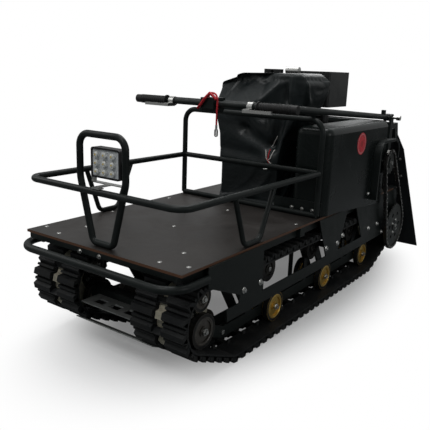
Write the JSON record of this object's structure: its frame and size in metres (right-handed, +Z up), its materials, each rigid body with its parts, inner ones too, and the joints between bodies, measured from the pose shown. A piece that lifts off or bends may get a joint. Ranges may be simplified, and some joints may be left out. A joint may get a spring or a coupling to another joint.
{
  "type": "tracked snow tug",
  "caption": "Low tracked snow tug: rubber belts below a plywood load deck, tubular guard rail, work lamp, covered engine and a handle frame that folds forward over it.",
  "frame": {"origin": "on the floor, in the middle of the overall box", "axes": "-Y is the front, the end with the work lamp, +X is the side with the drive chain, +Z is up"},
  "size_m": [0.98, 2.3148, 1.117],
  "materials": {
    "frame_paint": "dark satin paint",
    "plywood": "film-faced plywood, dark brown",
    "belt_rubber": "moulded rubber",
    "roller_rubber": "smooth rubber",
    "flap_rubber": "rubber sheet",
    "grip_rubber": "soft ribbed",
    "roller_yellow": "yellow zinc plate",
    "polyethylene": "cream",
    "cowl_gloss": "gloss black",
    "black_plastic": "matt black",
    "lamp_black": "black powder coat",
    "lens": "clear with LEDs behind",
    "zinc": "zinc plated",
    "chain_steel": "oiled",
    "sprocket_steel": "machined",
    "step_metal": "dull",
    "engine_metal": "cast",
    "red_cord": "woven cord",
    "vinyl": "black coated cloth"
  },
  "bodies": {
    "machine": {"air_box": "black_plastic", "chain_guard": "frame_paint", "chassis": "frame_paint", "breather": "zinc", "cowl": "cowl_gloss", "cross_slat": "step_metal", "deck_board": "plywood", "drive_chain": "chain_steel", "drive_shafts": "zinc", "fuel_tank": "black_plastic", "muffler": "engine_metal", "recoil_cover": "black_plastic", "drive_wheels": "polyethylene", "engine_block": "engine_metal", "engine_cover": "vinyl", "front_bumper": "frame_paint", "front_tie": "frame_paint", "guard_rail": "frame_paint", "jack_stand": "frame_paint", "kick_panel": "frame_paint", "lamp_bracket": "zinc", "lamp_hoop": "frame_paint", "nose_wheels": "polyethylene", "pivot_pins": "zinc", "rear_flap": "flap_rubber", "rear_frame": "frame_paint", "rear_hoop": "frame_paint", "roller_axles": "zinc", "road_rollers": "roller_yellow", "support_rollers": "roller_rubber", "sprockets": "sprocket_steel", "step_plate": "step_metal", "track_frame_left": "frame_paint", "track_frame_right": "frame_paint", "track_left": "belt_rubber", "track_right": "belt_rubber"},
    "handle": {"handle_frame": "frame_paint", "handlebar": "frame_paint", "bar_clamp": "frame_paint", "grips": "grip_rubber", "levers": "zinc", "lanyard": "red_cord", "lanyard_clip": "zinc"},
    "lamp": {"lamp_housing": "lamp_black", "lamp_lens": "lens"}
  },
  "joints": [
    {"name": "handle_fold", "type": "hinge", "parent": "machine", "child": "handle", "pos_m": [0, 0.8035, 0.863], "axis": [-1, 0, 0], "range_deg": [0, 140]},
    {"name": "lamp_tilt", "type": "hinge", "parent": "machine", "child": "lamp", "pos_m": [0, -1.0285, 0.757], "axis": [1, 0, 0], "range_deg": [-30, 30]}
  ]
}
